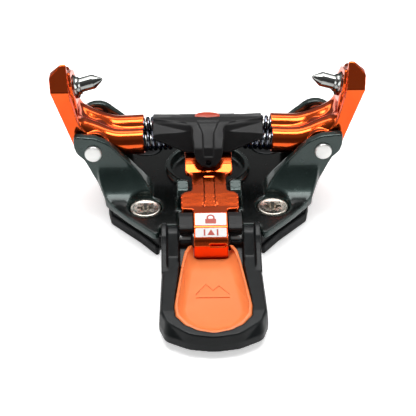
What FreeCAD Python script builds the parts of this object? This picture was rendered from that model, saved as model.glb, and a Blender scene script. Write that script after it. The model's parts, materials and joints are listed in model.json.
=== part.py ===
"""Toe piece of a pin (tech) ski touring binding, shown open, ready for the boot.

Units are millimetres.  +X is to the skier's right as seen from the ski tip, -Y points at the
ski tip, +Z is up.  The origin is the centre of the four mounting screws on the ski's top face.
"""
import FreeCAD, Part
import math
import os

V = FreeCAD.Vector
X_AXIS, Y_AXIS, Z_AXIS = V(1, 0, 0), V(0, 1, 0), V(0, 0, 1)

# --- driving dimensions -------------------------------------------------------------------
SCREW_X, SCREW_Y = 21.0, 19.0            # half spacing of the mounting screws
SCREW_HEAD_R, SCREW_SHANK_R, SCREW_NECK_R = 5.1, 2.75, 2.45
SCREW_REACH = 9.0                        # depth of the thread in the ski
SCREW_SEAT_Z, SCREW_HEAD_T = 6.4, 2.2

PAD_T = 7.0                              # height of the black base pad
DECK_Z = 9.5                             # top of the chassis flange
WELL_Z = 7.8                             # floor of the round well under the toe stop
WELL_R = 12.6

PIVOT_X, PIVOT_Z = 38.0, 23.5            # wing hinge line, along Y
WING_AXLE_R = 2.0
RUNNING_GAP = 0.05                       # radial clearance of every running fit
TOWER_FRONT_Y = (-8.0, -4.8)
TOWER_REAR_Y = (14.5, 17.5)

BARREL_Y = (0.4, 9.6)                    # front and rear spring barrels
BARREL_R, BARREL_BORE_R = 4.35, 3.75
BARREL_MOUTH_X, BARREL_MOUTH_Z = 20.8, 23.1
BARREL_TILT = 2.5                        # degrees, rising towards the middle
SPRING_R, SPRING_WIRE = 3.5, 1.3
SPRING_SEAT_X = 10.6

PIN_BASE = (44.6, 6.0, 40.7)             # where the toe pin leaves the wing
PIN_TILT = 17.0                          # degrees, rising towards the middle when open
PIN_LENGTH = 10.4
PIN_SHAFT_R, PIN_COLLAR_R = 2.4, 3.9
PIN_SHAFT_END = 7.3                      # the cone starts here

AXLE_Y, AXLE_Z = -38.0, 9.5              # cross axle of the rocker link and the lever
AXLE_R = 2.0
DRUM_R, DRUM_HALF_W = 7.5, 5.4

BLOCK_Y, BLOCK_Z = (-1.0, 13.2), (20.2, 26.0)    # spring block under the toe stop
TOE_SCREW_Y = 7.4
PLUG_R, PLUG_T, PLUG_TILT = 4.25, 1.2, 16.6      # the plug lies flush in the sloping top of the stop

LEVER_FRONT_Y = -86.0
LEVER_BOTTOM_Z, LEVER_TOP_Z = 2.0, 8.5
LEVER_CHEEK_X = (10.4, 15.2)
HOOK_X = (5.8, 9.9)                      # base blocks that hook over the cross axle
KNUCKLE_R = 5.1                          # the hooks stay outside this radius about the axle
PAD_SEAT_Z = 4.0                         # floor of the recess for the lever's orange pad

NOTCH_X, NOTCH_Y = 16.4, -30.0           # room between the base's front feet for the lever's cheeks
LABEL_ANGLES = [(72.0, 116.0), (122.0, 152.0)]   # degrees about the drum, from the rear over the top

# --- outlines; a left-hand one is closed by its mirror image ------------------------------
PAD_OUTLINE = [(-NOTCH_X, NOTCH_Y), (-NOTCH_X, -35.3), (-22.7, -26.7), (-32.6, -15.4),
               (-33.6, -10.0), (-33.6, 20.0), (-27.0, 28.0), (-19.0, 29.5)]
DECK_OUTLINE = [(-NOTCH_X, NOTCH_Y), (-NOTCH_X, -36.8), (-26.4, -25.5), (-34.2, -15.3),
                (-35.0, -10.0), (-35.0, 20.5), (-28.0, 29.0), (-19.5, 30.5)]
LINK_TOP = [(-24.0, 17.8), (-14.5, 18.5), (-11.8, 18.9), (-7.5, 20.6), (BLOCK_Y[0], 21.2)]

ARM_END_X, ARM_ROOT_X = 18.4, 6.8        # where the toe stop's arm sections stand
ARM_END = [(-4.3, 25.4), (-4.7, 26.6), (-4.2, 28.0), (3.2, 29.8), (11.0, 27.2),
           (14.6, 24.8), (14.6, 22.8)]
ARM_ROOT = [(-5.6, 21.0), (-6.0, 22.0), (-5.4, 23.4), (-1.6, 30.3), (11.0, 26.9),
            (14.6, 25.0), (14.6, 21.4)]

# centre line of the wing's body from the barrels' mouths up to the toe pin:
# x, z, half thickness, front y, rear y
WING_STATIONS = [(-27.0, 22.9, 4.3, -3.95, 13.95), (-33.0, 23.1, 4.3, -3.95, 13.95),
                 (-37.6, 25.2, 4.3, -3.9, 13.9), (-41.2, 29.6, 4.0, -3.6, 13.9),
                 (-43.7, 34.4, 3.5, -2.6, 13.8), (-45.7, 38.8, 3.2, -1.4, 13.5),
                 (-47.2, 43.0, 2.9, 0.0, 12.8), (-48.2, 46.4, 2.2, 2.0, 11.2)]
WING_FACE = [(-43.4, 20.6), (-44.9, 25.6), (-51.1, 43.0), (-51.9, 46.8), (-47.7, 50.4),
             (-46.7, 49.9), (-45.2, 41.5), (-43.2, 33.5), (-40.6, 29.4), (-35.0, 27.2),
             (-35.0, 19.4)]
WING_SIDE = [(-3.9, 19.0), (-3.9, 26.0), (-2.7, 43.4), (4.2, 50.3), (8.5, 50.3), (12.2, 47.8),
             (13.6, 42.6), (13.9, 27.0), (13.9, 19.0)]

LEVER_PLAN = [(-12.6, -43.6), (-15.0, -46.0), (-15.8, -56.0), (-16.5, -76.0), (-16.2, -80.0),
              (-13.4, -82.2), (-8.0, -84.6), (-4.0, -85.7), (0.0, LEVER_FRONT_Y)]
LEVER_PAD_PLAN = [(-5.9, -43.4), (-7.5, -45.0), (-8.9, -47.4), (-9.6, -51.0), (-11.6, -71.4),
                  (-11.2, -76.0), (-8.4, -79.6), (-5.0, -82.0), (0.0, -83.6)]
LEVER_DISH_PLAN = [(-5.9, -40.0), (-5.9, -47.0), (-7.8, -52.0), (-9.6, -71.0), (-9.0, -75.4),
                   (-4.4, -80.0), (0.0, -81.2)]
KNUCKLE_TOP = [(-42.0, 12.2), (-42.8, 10.3), (-48.6, 8.6)]     # ramp from the hooks to the pad

# --- small helpers ------------------------------------------------------------------------


def box(x0, x1, y0, y1, z0, z1):
    return Part.makeBox(x1 - x0, y1 - y0, z1 - z0, V(x0, y0, z0))


def cylinder(base, axis, radius, length):
    return Part.makeCylinder(radius, length, V(*base), axis)


def ring(base, axis, outer, inner, length):
    return cylinder(base, axis, outer, length).cut(cylinder(base, axis, inner, length))


def face_of(points):
    corners = [V(*p) for p in points]
    return Part.Face(Part.makePolygon(corners + corners[:1]))


def prism_x(points, x0, x1):
    """Extrudes a (y, z) outline from x0 to x1."""
    return face_of([(x0, y, z) for y, z in points]).extrude(V(x1 - x0, 0, 0))


def prism_y(points, y0, y1):
    """Extrudes an (x, z) outline from y0 to y1."""
    return face_of([(x, y0, z) for x, z in points]).extrude(V(0, y1 - y0, 0))


def prism_z(points, z0, z1):
    """Extrudes an (x, y) outline from z0 to z1."""
    return face_of([(x, y, z0) for x, y in points]).extrude(V(0, 0, z1 - z0))


def both_sides(points):
    """Closes a left-hand outline, listed front to rear, with its mirror image."""
    return points + [(-x, y) for x, y in reversed(points)]


def tip_to_tip(points):
    """Closes a left-hand outline that ends on the middle line with its mirror image."""
    return points + [(-x, y) for x, y in reversed(points[:-1])]


def arc_points(cx, cy, radius, start, end, count):
    """Points on an arc, angles in degrees."""
    step = (end - start) / (count - 1)
    angles = [math.radians(start + step * i) for i in range(count)]
    return [(cx + radius * math.cos(a), cy + radius * math.sin(a)) for a in angles]


def mirror_x(shape):
    return shape.mirror(V(0, 0, 0), X_AXIS)


def fuse_all(shapes):
    result = shapes[0]
    for shape in shapes[1:]:
        result = result.fuse(shape)
    return result.removeSplitter()


def soften(shape, radius, picks):
    """Rounds the edges whose middle lies inside one of the boxes in picks, where that works."""
    chosen = []
    for edge in shape.Edges:
        middle = edge.valueAt((edge.FirstParameter + edge.LastParameter) / 2)
        for low, high in picks:
            if all(low[i] <= middle[i] <= high[i] for i in range(3)):
                chosen.append(edge)
                break
    try:
        rounded = shape.makeFillet(radius, chosen)
    except Part.OCCError:
        return shape
    if rounded.isValid() and rounded.Volume > 0:
        return rounded
    return shape


def save(node, *shapes):
    solids = [s for shape in shapes for s in shape.Solids]
    result = solids[0] if len(solids) == 1 else Part.makeCompound(solids)
    result.exportStep(os.path.join("parts", node + ".step"))


def each_screw():
    return [(sx * SCREW_X, sy * SCREW_Y) for sx in (-1, 1) for sy in (-1, 1)]


# --- base pad, chassis and mounting screws ------------------------------------------------


def screw_holes(z0, z1):
    return [cylinder((x, y, z0), Z_AXIS, SCREW_SHANK_R + 0.25, z1 - z0) for x, y in each_screw()]


def base_pad():
    pad = prism_z(both_sides(PAD_OUTLINE), 0, PAD_T)
    for hole in screw_holes(0, PAD_T):
        pad = pad.cut(hole)
    return soften(pad, 1.2, [((-40, -40, PAD_T / 2 - 1), (40, 40, PAD_T / 2 + 1))])


def tower_profile_front():
    outer = [(-33.8, DECK_Z), (-36.6, 12.0), (-38.6, 17.0), (-40.8, 20.8), (-43.0, 23.6)]
    crown = [(-43.7, 26.0), (-43.4, 28.6), (-42.5, 29.2), (-34.9, 29.2), (-33.9, 28.7)]
    return outer + crown + [(-20.4, 14.6), (-16.6, DECK_Z)]


def tower_profile_rear():
    outer = [(-33.8, DECK_Z), (-37.0, 12.0), (-39.6, 17.0), (-42.6, 21.0)]
    crown = arc_points(-37.2, 23.0, 6.6, 165, 42, 8)
    return outer + crown + [(-28.2, 24.0), (-24.0, 18.5), (-19.0, DECK_Z)]


def front_scoop():
    """The concave slope that carries the front tower down to the deck."""
    radius = 12.0
    start_y = TOWER_FRONT_Y[0]
    centre_y, centre_z = start_y - radius, DECK_Z + radius
    curve = arc_points(centre_y, centre_z, radius, 0, -90, 9)
    slope = prism_x([(start_y, DECK_Z - 2)] + curve + [(centre_y, DECK_Z - 2)], -60, -10)
    front_view = prism_y(tower_profile_front(), -45, start_y + 1)
    plan = prism_z([(-NOTCH_X, -36.8), (-26.4, -25.5), (-34.2, -15.3), (-37.0, -8.0),
                    (-45.0, start_y), (-14.0, start_y), (-14.0, -36.8)], 0, 60)
    return slope.common(front_view).common(plan)


def chassis():
    deck = prism_z(both_sides(DECK_OUTLINE), PAD_T, DECK_Z)
    rim = ring((0, 5, DECK_Z - 0.5), Z_AXIS, WELL_R + 1.6, WELL_R, 2.0)
    parts = [deck, rim]
    for towers in (prism_y(tower_profile_front(), *TOWER_FRONT_Y),
                   prism_y(tower_profile_rear(), *TOWER_REAR_Y), front_scoop()):
        parts += [towers, mirror_x(towers)]
    post = prism_x([(-21.2, DECK_Z - 1), (-21.2, 14.6), (-20.2, 16.4), (-15.4, 17.6),
                    (-14.2, 16.6), (-14.2, DECK_Z - 1)], -10.6, -6.7)
    parts += [post, mirror_x(post)]
    body = fuse_all(parts)
    body = body.cut(cylinder((0, 5, WELL_Z), Z_AXIS, WELL_R, 6))
    body = body.cut(box(-10.2, 10.2, -33, -22.5, WELL_Z, 20))
    body = body.cut(box(-6.3, 6.3, -25, 0, WELL_Z, 30))
    for x, y in each_screw():
        body = body.cut(cylinder((x, y, SCREW_SEAT_Z), Z_AXIS, SCREW_SHANK_R + 0.25, 10))
        body = body.cut(cylinder((x, y, SCREW_SEAT_Z + 0.6), Z_AXIS, SCREW_HEAD_R + 0.25, 24))
        clearance = cylinder((x, y, DECK_Z - 0.4), Z_AXIS, SCREW_HEAD_R + 1.0, 24)
        body = body.cut(clearance)
    for side in (-1, 1):
        body = body.cut(cylinder((side * PIVOT_X, -12, PIVOT_Z), Y_AXIS, WING_AXLE_R, 36))
        body = body.cut(cylinder((side * PIVOT_X, -12, PIVOT_Z), Y_AXIS, 3.3, 12 + TOWER_FRONT_Y[0]))
    return body


def mounting_screws():
    screws = []
    for x, y in each_screw():
        under_head = SCREW_SEAT_Z + 0.6
        thread = cylinder((x, y, -SCREW_REACH), Z_AXIS, SCREW_SHANK_R, SCREW_REACH - 0.3)
        neck = cylinder((x, y, -SCREW_REACH), Z_AXIS, SCREW_NECK_R, SCREW_REACH + under_head)
        head = cylinder((x, y, under_head), Z_AXIS, SCREW_HEAD_R, SCREW_HEAD_T)
        screw = thread.fuse(neck).fuse(head).removeSplitter()
        top = under_head + SCREW_HEAD_T
        for angle in (0, 90):
            slot = box(x - 3.1, x + 3.1, y - 0.7, y + 0.7, top - 1.6, top + 1)
            slot.rotate(V(x, y, 0), Z_AXIS, angle)
            screw = screw.cut(slot)
        screws.append(screw)
    return screws


def screw_ferrules():
    """Steel sleeves that line the screw holes of the soft base pad."""
    return [ring((x, y, 0.4), Z_AXIS, SCREW_SHANK_R + 0.25, SCREW_SHANK_R + 0.02, PAD_T - 0.6)
            for x, y in each_screw()]


def wing_axle(side):
    x = side * PIVOT_X
    front, rear = TOWER_FRONT_Y[0], TOWER_REAR_Y[1]
    rod = cylinder((x, front, PIVOT_Z), Y_AXIS, WING_AXLE_R, rear - front + 1.6)
    head = cylinder((x, front - 0.9, PIVOT_Z), Y_AXIS, 2.85, 0.9)
    return rod.fuse(head).removeSplitter()


def axle_clips():
    rear = TOWER_REAR_Y[1]
    return [ring((side * PIVOT_X, rear, PIVOT_Z), Y_AXIS, 3.4, WING_AXLE_R, 0.8) for side in (-1, 1)]


# --- axle blocks and cross axle -----------------------------------------------------------


def axle_block(side):
    """Sits on the chassis behind the cross axle and hooks over it."""
    hook = [(-34.0, 17.0), (-37.5, 17.0), (-40.2, 16.0), (-41.4, 15.0), (-40.7, 13.8)]
    inner = arc_points(AXLE_Y, AXLE_Z, KNUCKLE_R, 120, 100, 5)
    seat = [(AXLE_Y - 0.3, AXLE_Z), (AXLE_Y - 0.3, AXLE_Z - 3.2), (-35.5, 4.5), (NOTCH_Y, 2.5)]
    outline = [(NOTCH_Y, 8.2), (-32.6, 9.0), (-32.9, 16.2)] + hook + inner + seat
    block = prism_x(outline, *HOOK_X)
    block = block.cut(cylinder((HOOK_X[0] - 1, AXLE_Y, AXLE_Z), X_AXIS, AXLE_R, 8))
    return block if side > 0 else mirror_x(block)


def lever_axle():
    half = LEVER_CHEEK_X[1] - 0.1
    return cylinder((-half, AXLE_Y, AXLE_Z), X_AXIS, AXLE_R, 2 * half)


def axle_cap_space(side, radius):
    """The round room for one retaining ring, sunk in the cheek's outer face."""
    outer = LEVER_CHEEK_X[1]
    start = outer - 0.9 if side > 0 else -outer
    return cylinder((start, AXLE_Y, AXLE_Z), X_AXIS, radius, 0.9)


def lever_axle_caps():
    caps = []
    for side in (-1, 1):
        outer = LEVER_CHEEK_X[1] - 0.1
        start = outer - 0.7 if side > 0 else -outer
        caps.append(ring((start, AXLE_Y, AXLE_Z), X_AXIS, 3.0, AXLE_R, 0.7))
    return caps


# --- wings --------------------------------------------------------------------------------


def barrel_axis_point(x, y):
    """Point on the left barrel axis at depth y, for an X position left of the middle."""
    rise = math.tan(math.radians(BARREL_TILT)) * (x + BARREL_MOUTH_X)
    return (x, y, BARREL_MOUTH_Z + rise)


def barrel_cylinder(y, x_start, x_end, radius):
    start = barrel_axis_point(x_start, y)
    tilt = math.radians(BARREL_TILT)
    direction = V(math.cos(tilt), 0, math.sin(tilt))
    return cylinder(start, direction, radius, (x_end - x_start) / math.cos(tilt))


def pin_direction():
    tilt = math.radians(PIN_TILT)
    return V(math.cos(tilt), 0, math.sin(tilt))


def pin_point(s):
    return V(-PIN_BASE[0], PIN_BASE[1], PIN_BASE[2]) + pin_direction() * s


def wing_section(index):
    """A round-ended section across the wing's body at one of its stations."""
    x, z, half, front, rear = WING_STATIONS[index]
    before = WING_STATIONS[max(index - 1, 0)]
    after = WING_STATIONS[min(index + 1, len(WING_STATIONS) - 1)]
    along = V(after[0] - before[0], 0, after[1] - before[1]).normalize()
    across = V(-along.z, 0, along.x) * half
    front_centre, rear_centre = V(x, front + half, z), V(x, rear - half, z)
    reach = V(0, half, 0)
    edges = [Part.LineSegment(front_centre + across, rear_centre + across),
             Part.Arc(rear_centre + across, rear_centre + reach, rear_centre - across),
             Part.LineSegment(rear_centre - across, front_centre - across),
             Part.Arc(front_centre - across, front_centre - reach, front_centre + across)]
    return Part.Wire([edge.toShape() for edge in edges])


def left_wing():
    plate = prism_y(WING_FACE, -3.9, 4.6).common(prism_x(WING_SIDE, -60, -30))
    body = Part.makeLoft([wing_section(i) for i in range(len(WING_STATIONS))], True, False)
    hub = cylinder((-PIVOT_X, -4.3, PIVOT_Z), Y_AXIS, 6.0, 18.4)
    boss = Part.makeCone(5.4, 4.6, 3.6, pin_point(-3.4), pin_direction())
    parts = [plate, body, hub, boss]
    for y in BARREL_Y:
        parts.append(barrel_cylinder(y, -34.0, -BARREL_MOUTH_X, BARREL_R))
    web = prism_y([(-34, 20.0), (-34, 24.6), (-BARREL_MOUTH_X, 25.2), (-BARREL_MOUTH_X, 21.0)],
                  BARREL_Y[0], BARREL_Y[1])
    parts.append(web)
    wing = fuse_all(parts)
    for y in BARREL_Y:
        wing = wing.cut(barrel_cylinder(y, -32.5, -BARREL_MOUTH_X + 2, BARREL_BORE_R))
    wing = wing.cut(cylinder((-PIVOT_X, -6, PIVOT_Z), Y_AXIS, 3.0, 24))
    spot_face = Part.makeCylinder(PIN_COLLAR_R + 0.2, 9.0, pin_point(0.2), pin_direction())
    return wing.cut(spot_face).cut(Part.makeCylinder(2.2, 6.0, pin_point(-4.5), pin_direction()))


def left_wing_bush():
    return ring((-PIVOT_X, -4.3, PIVOT_Z), Y_AXIS, 3.0, WING_AXLE_R + RUNNING_GAP, 18.4)


def left_toe_pin():
    direction = pin_direction()
    stations = [(-4.5, 2.2), (0.2, 2.2), (0.2, PIN_COLLAR_R), (1.5, PIN_COLLAR_R), (1.9, 3.0),
                (2.6, 3.0), (3.0, PIN_SHAFT_R), (PIN_SHAFT_END, PIN_SHAFT_R),
                (PIN_LENGTH - 0.2, 0.45), (PIN_LENGTH, 0.0)]
    profile = [V(-4.5, 0, 0)] + [V(s, r, 0) for s, r in stations]
    face = Part.Face(Part.makePolygon(profile + profile[:1]))
    pin = face.revolve(V(0, 0, 0), X_AXIS, 360)
    pin.rotate(V(0, 0, 0), V(0, 1, 0), -PIN_TILT)
    pin.translate(pin_point(0))
    return pin


def left_spring(y):
    """Envelope of one coil spring: the coils themselves close up as the wing swings."""
    outer = barrel_cylinder(y, -32.4, -SPRING_SEAT_X - 0.4, SPRING_R)
    return outer.cut(barrel_cylinder(y, -33, -SPRING_SEAT_X, SPRING_R - SPRING_WIRE))


def left_spring_guides():
    guides = []
    for y in BARREL_Y:
        rod = barrel_cylinder(y, -31.0, -SPRING_SEAT_X - 0.4, SPRING_R - SPRING_WIRE - 0.15)
        disc = barrel_cylinder(y, -SPRING_SEAT_X - 0.4, -SPRING_SEAT_X + 0.6, SPRING_R - 0.9)
        guides.append(rod.fuse(disc).removeSplitter())
    return guides


# --- rocker: link, spring block and toe stop ----------------------------------------------


def centre_link():
    top = [(-33.5, 15.5), (-31.0, 17.2)] + LINK_TOP
    tongue = [(BLOCK_Y[0], BLOCK_Z[0]), (10.5, BLOCK_Z[0]), (10.5, 17.2), (BLOCK_Y[0], 17.2)]
    bottom = [(-13.0, 16.5), (-18.0, 14.7), (-26.0, 13.2), (-33.5, 11.5)]
    side_view = prism_x(top + tongue + bottom, -12, 12)
    drum = cylinder((-DRUM_HALF_W, AXLE_Y, AXLE_Z), X_AXIS, DRUM_R, 2 * DRUM_HALF_W)
    bridge = prism_x([(AXLE_Y, 2.6), (AXLE_Y, 16.9), (-31.0, 17.2), (-31.0, 12.6), (-35.0, 6.0)],
                     -DRUM_HALF_W, DRUM_HALF_W)
    plan = prism_z(both_sides([(-DRUM_HALF_W, -40.0), (-DRUM_HALF_W, -32.4), (-8.6, -32.1),
                               (-9.3, -31.2), (-9.3, -24.6), (-8.2, -23.2), (-5.7, -22.6),
                               (-5.7, -13.0), (-7.8, -12.2), (-7.8, 10.5)]), 0, 60)
    link = side_view.common(plan).fuse(drum).fuse(bridge).removeSplitter()
    link = link.cut(prism_z([(-0.9, -30.5), (0.9, -30.5), (0.9, -17.5), (-0.9, -17.5)], 18.0, 30))
    link = link.cut(cylinder((-9, AXLE_Y, AXLE_Z), X_AXIS, 3.0, 18))
    link = link.cut(cylinder((0, TOE_SCREW_Y, 16), Z_AXIS, 1.6, 6))
    for start, end in LABEL_ANGLES:
        link = link.cut(label_sector(start, end, 0.35))
    return link


def label_sector(start, end, extra):
    """A strip of the drum's rim, 0.4 deep, between two angles in the (y, z) plane."""
    outer = arc_points(AXLE_Y, AXLE_Z, DRUM_R + extra, start, end, 9)
    inner = arc_points(AXLE_Y, AXLE_Z, DRUM_R - 0.35, end, start, 9)
    return prism_x(outer + inner, -4.6, 4.6)


def rocker_bush():
    return ring((-DRUM_HALF_W, AXLE_Y, AXLE_Z), X_AXIS, 3.0, AXLE_R + RUNNING_GAP, 2 * DRUM_HALF_W)


def spring_block():
    """Carries the inner seats of the four springs."""
    half = SPRING_SEAT_X - 1.2
    block = box(-half, half, *BLOCK_Y, *BLOCK_Z)
    block = block.cut(cylinder((0, TOE_SCREW_Y, BLOCK_Z[0]), Z_AXIS, 1.6, 8))
    return block.cut(cylinder((0, TOE_SCREW_Y, BLOCK_Z[1] - 1.0), Z_AXIS, 2.8, 2))


def toe_stop_cap():
    sections = [(-ARM_END_X, ARM_END), (-ARM_ROOT_X, ARM_ROOT),
                (ARM_ROOT_X, ARM_ROOT), (ARM_END_X, ARM_END)]
    wires = []
    for x, outline in sections:
        wires.append(Part.makePolygon([V(x, y, z) for y, z in outline + outline[:1]]))
    arms = Part.makeLoft(wires, True, True)
    side_view = prism_x([(-1.0, 30.5), (-1.6, 30.6), (-9.5, 25.4), (-11.9, 20.6),
                         (-11.5, 19.4), (-1.0, 21.3)], -6, 6)
    front_view = prism_y([(-4.9, 31), (-4.9, 24.4), (-4.2, 22.6), (-2.4, 20.4), (0, 19.4),
                          (2.4, 20.4), (4.2, 22.6), (4.9, 24.4), (4.9, 31)], -20, 0)
    cap = arms.fuse(side_view.common(front_view)).removeSplitter()
    half = SPRING_SEAT_X - 1.2
    cap = cap.cut(box(-half, half, *BLOCK_Y, 18, BLOCK_Z[1]))
    cap = cap.cut(link_room())
    for y in BARREL_Y:
        cap = cap.cut(spring_pocket(y)).cut(mirror_x(spring_pocket(y)))
    cap = cap.cut(toe_stop_plug())
    return cap.cut(cylinder((0, TOE_SCREW_Y, BLOCK_Z[1]), Z_AXIS, 1.6, 2))


def spring_pocket(y):
    """Room in the left arm for one spring, with play for the arc that the toe stop moves on."""
    radius, play, x_end = SPRING_R + 0.35, 1.9, 1 - SPRING_SEAT_X
    low, high = -ARM_END_X - 1.0, 1.2 - SPRING_SEAT_X
    centre_z = barrel_axis_point(x_end, y)[2] - 0.2
    pocket = cylinder((low, y, centre_z), X_AXIS, radius, high - low)
    pocket = pocket.fuse(cylinder((low, y - play, centre_z), X_AXIS, radius - 0.4, high - low))
    pocket = pocket.fuse(box(low, high, y - play, y, centre_z, centre_z + radius - 0.4))
    return pocket.fuse(box(low, high, max(y - play - radius, -3.9), y + radius, 15, centre_z))


def link_room():
    """The link's top face, which the cap's stem sits over."""
    outline = [(-20.0, 18.1)] + LINK_TOP[1:] + [(BLOCK_Y[0], 15.0), (-20.0, 12.0)]
    return prism_x(outline, -7.85, 7.85)


def toe_stop_plug():
    tilt = math.radians(PLUG_TILT)
    normal = V(0, math.sin(tilt), math.cos(tilt))
    return Part.makeCylinder(PLUG_R, PLUG_T, V(0, TOE_SCREW_Y, 28.5) - normal * PLUG_T, normal)


def toe_stop_screw():
    shank = cylinder((0, TOE_SCREW_Y, 17.4), Z_AXIS, 1.55, BLOCK_Z[1] - 18.4)
    head = cylinder((0, TOE_SCREW_Y, BLOCK_Z[1] - 1.0), Z_AXIS, 2.7, 0.8)
    return shank.fuse(head).removeSplitter()


# --- lever --------------------------------------------------------------------------------


def lever_cheek():
    """Left cheek: a lug about the cross axle with a thin fin along its outer edge."""
    lug = arc_points(AXLE_Y, AXLE_Z, 4.6, 120, -90, 15)
    foot = [(-46.0, LEVER_BOTTOM_Z), (-54.0, LEVER_BOTTOM_Z), (-54.0, LEVER_TOP_Z - 0.5)]
    inner, outer = LEVER_CHEEK_X
    cheek = prism_x(lug + foot, -outer, -inner)
    fin = arc_points(AXLE_Y, AXLE_Z, 5.2, 110, 20, 7)
    return cheek.fuse(prism_x(fin + [(-33.5, 6.0), (-52.0, LEVER_BOTTOM_Z + 2), (-52.0, LEVER_TOP_Z)],
                              -outer, 1.2 - outer))


def lever_knuckle():
    """Left ramp beside the drum, in front of the hook."""
    clear = arc_points(AXLE_Y, AXLE_Z, 3.6, 200, 250, 5)
    outline = KNUCKLE_TOP + [(-48.6, LEVER_BOTTOM_Z), (-41.5, LEVER_BOTTOM_Z)] + clear[::-1]
    return prism_x(outline, -LEVER_CHEEK_X[0] - 0.5, -HOOK_X[0] - 0.2)


def lever_body():
    slab = prism_z(tip_to_tip(LEVER_PLAN), LEVER_BOTTOM_Z, LEVER_TOP_Z)
    room = LEVER_CHEEK_X[0] - 0.2
    slab = slab.cut(box(-room, room, -48.6, -40, 0, 20))
    parts = [slab]
    for part in (lever_cheek(), lever_knuckle()):
        parts += [part, mirror_x(part)]
    body = fuse_all(parts)
    pad_room = prism_z(tip_to_tip(LEVER_PAD_PLAN), PAD_SEAT_Z, 20)
    body = body.cut(pad_room).cut(drum_room())
    for side in (-1, 1):
        body = body.cut(axle_cap_space(side, 3.1))
    return body.cut(cylinder((-20, AXLE_Y, AXLE_Z), X_AXIS, AXLE_R + RUNNING_GAP, 40))


def drum_room():
    half = DRUM_HALF_W + 0.3
    return cylinder((-half, AXLE_Y, AXLE_Z), X_AXIS, DRUM_R + 0.4, 2 * half)


def lever_pad():
    """The dished pad, with two horns that climb the ramps beside the drum."""
    pad = prism_z(tip_to_tip(LEVER_PAD_PLAN), PAD_SEAT_Z, 13.0)
    rim_top = [(-90.0, 9.1), (-48.6, 9.1), (-42.8, 10.5), (-42.8, 20.0), (-90.0, 20.0)]
    pad = pad.cut(prism_x(rim_top, -15, 15))
    pad = pad.cut(prism_z(tip_to_tip(LEVER_DISH_PLAN), 6.4, 20))
    return pad.cut(drum_room())


def lever_bushes():
    """Pale plastic sleeves on the cross axle, inside the cheeks."""
    start = LEVER_CHEEK_X[0] - 0.45
    return [ring((x, AXLE_Y, AXLE_Z), X_AXIS, 2.9, AXLE_R + RUNNING_GAP, 0.4)
            for x in (start, -start - 0.4)]


# --- build --------------------------------------------------------------------------------


def main():
    os.makedirs("parts", exist_ok=True)
    save("base_pad", base_pad())
    save("chassis", chassis())
    save("mounting_screws", *mounting_screws())
    save("screw_ferrules", *screw_ferrules())
    save("axle_clips", *axle_clips())
    save("lever_axle", lever_axle())
    save("lever_axle_caps", *lever_axle_caps())
    for side, name in ((-1, "left"), (1, "right")):
        hand = (lambda shape: shape) if side < 0 else mirror_x
        save(name + "_wing_axle", wing_axle(side))
        save(name + "_axle_block", axle_block(side))
        save(name + "_wing", hand(left_wing()))
        save(name + "_wing_bush", hand(left_wing_bush()))
        save(name + "_toe_pin", hand(left_toe_pin()))
        save(name + "_front_spring", hand(left_spring(BARREL_Y[0])))
        save(name + "_rear_spring", hand(left_spring(BARREL_Y[1])))
        save(name + "_spring_guides", *[hand(g) for g in left_spring_guides()])
    save("centre_link", centre_link())
    save("rocker_bush", rocker_bush())
    for node, (start, end) in zip(("lock_label", "ski_label"), LABEL_ANGLES):
        save(node, label_sector(start, end, 0.1))
    save("spring_block", spring_block())
    save("toe_stop_cap", toe_stop_cap())
    save("toe_stop_plug", toe_stop_plug())
    save("toe_stop_screw", toe_stop_screw())
    save("lever_body", lever_body())
    save("lever_pad", lever_pad())
    save("lever_bushes", *lever_bushes())


main()
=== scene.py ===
import json
import math
import bmesh
import bpy
from mathutils import Matrix, Vector


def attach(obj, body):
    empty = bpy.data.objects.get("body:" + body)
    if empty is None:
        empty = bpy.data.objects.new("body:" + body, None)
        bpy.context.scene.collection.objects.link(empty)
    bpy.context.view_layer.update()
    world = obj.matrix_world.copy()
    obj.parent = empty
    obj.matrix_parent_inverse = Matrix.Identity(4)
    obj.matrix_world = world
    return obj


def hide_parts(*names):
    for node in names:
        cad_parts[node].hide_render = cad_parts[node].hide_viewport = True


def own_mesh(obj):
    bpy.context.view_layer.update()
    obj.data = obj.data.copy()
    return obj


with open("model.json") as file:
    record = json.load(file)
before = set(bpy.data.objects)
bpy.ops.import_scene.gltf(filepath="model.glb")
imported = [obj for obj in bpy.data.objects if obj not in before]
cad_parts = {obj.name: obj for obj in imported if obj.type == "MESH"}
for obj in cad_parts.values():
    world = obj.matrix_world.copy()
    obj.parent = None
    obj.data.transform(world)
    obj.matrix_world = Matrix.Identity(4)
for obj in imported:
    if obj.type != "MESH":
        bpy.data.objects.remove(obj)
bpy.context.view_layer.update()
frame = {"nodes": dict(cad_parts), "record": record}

# --- driving dimensions, in millimetres in the part's own frame ---------------------------
MM = 0.001
SCREW_X, SCREW_Y, SCREW_HEAD_R, SCREW_TOP = 21.0, 19.0, 5.1, 9.2
PAD_TOP, DECK_TOP = 7.0, 9.5
WELL_FLOOR, WELL_R, WELL_Y = 7.8, 12.6, 5.0
PIVOT_X, PIVOT_Z = 38.0, 23.5
TOWER_FRONT, TOWER_REAR = (-8.0, -4.8), (14.5, 17.5)
BARREL_YS = (0.4, 9.6)
BORE_R, MOUTH_X, MOUTH_Z, BARREL_TILT = 3.75, 21.3, 23.1, 2.5
SPRING_R, WIRE_R, SPRING_START_X, SPRING_END_X, SPRING_TURNS = 2.82, 0.66, 32.2, 11.0, 12
STEPS_PER_TURN = 28
PIN_X, PIN_Y, PIN_Z, PIN_TILT = 44.6, 6.0, 40.7, 17.0
AXLE_Y, AXLE_Z = -38.0, 9.5
DRUM_R, DRUM_HALF = 7.5, 5.4
TOE_SCREW_Y = 7.4
ARM_END_X, ARM_ROOT_X = 18.3, 6.8

# --- outline and mesh helpers -------------------------------------------------------------


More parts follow.
